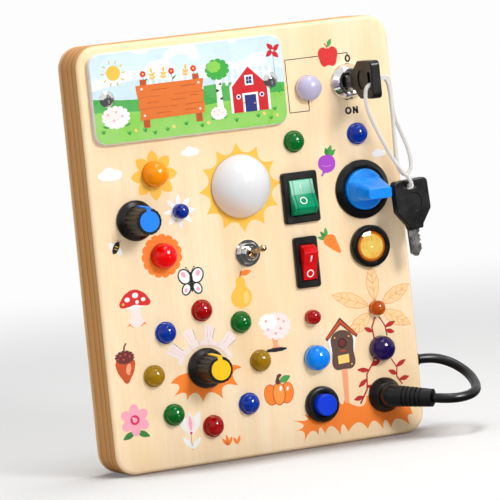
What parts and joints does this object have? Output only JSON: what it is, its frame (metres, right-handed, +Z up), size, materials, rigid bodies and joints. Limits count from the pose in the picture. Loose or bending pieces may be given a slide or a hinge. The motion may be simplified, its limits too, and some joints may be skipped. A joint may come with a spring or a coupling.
{
  "type": "busy board",
  "caption": "Wooden busy board with coloured lamps, rocker, toggle, push, rotary and key switches, a spare key on a string and a short plug cable.",
  "frame": {"origin": "middle of the board's bottom edge face, half way through its thickness", "axes": "+X to the right seen from the front, +Y towards the back, +Z up along the board's height; the control panel faces -Y"},
  "size_m": [0.2315, 0.0702, 0.25],
  "materials": {
    "wood": "satin",
    "panel": "satin",
    "steel": "satin",
    "plate": "satin",
    "chrome": "polished",
    "white_lens": "gloss",
    "orange_lens": "gloss",
    "red_lens": "gloss",
    "lilac_lens": "gloss",
    "sky_lens": "gloss",
    "purple_lens": "gloss",
    "blue_lens": "gloss",
    "amber_lens": "gloss",
    "green_lens": "gloss",
    "yellow_lens": "gloss",
    "circuit": "satin",
    "led": "gloss",
    "brass": "satin",
    "black": "satin",
    "string": "woven",
    "black_gloss": "gloss",
    "blue_gloss": "gloss",
    "blue": "satin",
    "yellow": "satin",
    "green": "gloss",
    "red": "gloss",
    "cable": "satin",
    "cell": "satin"
  },
  "bodies": {
    "board": {"body_shell": "wood", "back_panel": "panel", "back_panel_screws": "steel", "name_plate": "plate", "name_plate_screws": "chrome", "white_dome_lamp": "white_lens", "orange_dome_lamp": "orange_lens", "red_dome_lamp": "red_lens", "lilac_dome_lamp": "lilac_lens", "sky_blue_dome_lamp": "sky_lens", "purple_dome_lamp": "purple_lens", "small_blue_lamp": "blue_lens", "small_red_lamp": "red_lens", "small_amber_lamp": "amber_lens", "red_indicator_lamps": "red_lens", "green_indicator_lamps": "green_lens", "blue_indicator_lamps": "blue_lens", "yellow_indicator_lamps": "yellow_lens", "circuit_board": "circuit", "circuit_board_standoffs": "steel", "lamp_leds": "led", "key_switch_housing": "chrome", "selector_housing": "black_gloss", "switch_nuts": "chrome", "dimmer_body": "steel", "rotary_body": "steel", "toggle_housing": "chrome", "green_rocker_frame": "black_gloss", "red_rocker_frame": "black_gloss", "amber_button_housing": "chrome", "blue_button_housing": "black_gloss", "amber_button_spring": "steel", "blue_button_spring": "steel", "cable_socket": "black", "plug_cable": "cable", "cable_gland": "black", "battery_box": "black", "batteries": "cell"},
    "lock": {"key_rotor": "brass"},
    "key": {"key_blade": "steel", "key_bow": "black"},
    "tether": {"key_string": "string", "string_knot": "string"},
    "spare_key": {"spare_key_blade": "steel", "spare_key_bow": "black"},
    "selector": {"selector_knob": "blue_gloss"},
    "dimmer": {"dimmer_shaft": "steel", "dimmer_knob": "black", "dimmer_cap": "blue"},
    "rotary": {"rotary_shaft": "steel", "rotary_knob": "black", "rotary_cap": "yellow"},
    "toggle": {"toggle_lever": "chrome"},
    "green_rocker": {"green_rocker_paddle": "green"},
    "red_rocker": {"red_rocker_paddle": "red"},
    "amber_button": {"amber_button_lens": "amber_lens"},
    "blue_button": {"blue_button_cap": "blue"},
    "plug_end": {"plug": "black"},
    "door": {"battery_door": "black", "door_screw": "steel"}
  },
  "joints": [
    {"name": "key_turn", "type": "hinge", "parent": "board", "child": "lock", "pos_m": [0.0705, -0.015, 0.2124], "axis": [0, 1, 0], "range_deg": [0, 180]},
    {"name": "key_pull", "type": "slide", "parent": "lock", "child": "key", "axis": [0, -1, 0], "range_m": [0, 0.0105]},
    {"name": "tether_hang", "type": "hinge", "parent": "key", "child": "tether", "pos_m": [0.0705, -0.015, 0.2124], "axis": [0, 1, 0], "range_deg": [-180, 0]},
    {"name": "spare_key_swing", "type": "hinge", "parent": "tether", "child": "spare_key", "pos_m": [0.0945, -0.033, 0.1476], "axis": [0, -1, 0], "range_deg": [0, 40], "deforming": ["key_string"]},
    {"name": "selector_turn", "type": "hinge", "parent": "board", "child": "selector", "pos_m": [0.07315, -0.015, 0.1483], "axis": [0, 1, 0], "range_deg": [0, 90]},
    {"name": "dimmer_turn", "type": "hinge", "parent": "board", "child": "dimmer", "pos_m": [-0.0733, -0.015, 0.1472], "axis": [0, 1, 0], "range_deg": [-150, 150]},
    {"name": "rotary_turn", "type": "hinge", "parent": "board", "child": "rotary", "pos_m": [-0.0382, -0.015, 0.0565], "axis": [0, 1, 0], "range_deg": [0, 315]},
    {"name": "toggle_flip", "type": "hinge", "parent": "board", "child": "toggle", "pos_m": [-0.0046, -0.018, 0.1198], "axis": [1, 0, 0], "range_deg": [0, 20]},
    {"name": "green_rocker_tilt", "type": "hinge", "parent": "board", "child": "green_rocker", "pos_m": [0.0323, -0.0158, 0.1483], "axis": [1, 0, 0], "range_deg": [0, 40]},
    {"name": "red_rocker_tilt", "type": "hinge", "parent": "board", "child": "red_rocker", "pos_m": [0.0323, -0.0158, 0.1099], "axis": [-1, 0, 0], "range_deg": [0, 40]},
    {"name": "amber_button_press", "type": "slide", "parent": "board", "child": "amber_button", "axis": [0, 1, 0], "range_m": [0, 0.003], "stiffness_N_per_m": 200, "springref_m": -0.002, "deforming": ["amber_button_spring"]},
    {"name": "blue_button_press", "type": "slide", "parent": "board", "child": "blue_button", "axis": [0, 1, 0], "range_m": [0, 0.0025], "stiffness_N_per_m": 200, "springref_m": -0.002, "deforming": ["blue_button_spring"]},
    {"name": "plug_pull", "type": "slide", "parent": "board", "child": "plug_end", "axis": [0, -1, 0], "range_m": [0, 0.012], "deforming": ["plug_cable"]},
    {"name": "battery_door_lift", "type": "slide", "parent": "board", "child": "door", "axis": [0, 1, 0], "range_m": [0, 0.015]}
  ],
  "couplings": [
    {"joint": "tether_hang", "follows": "key_turn", "ratio": -1}
  ]
}
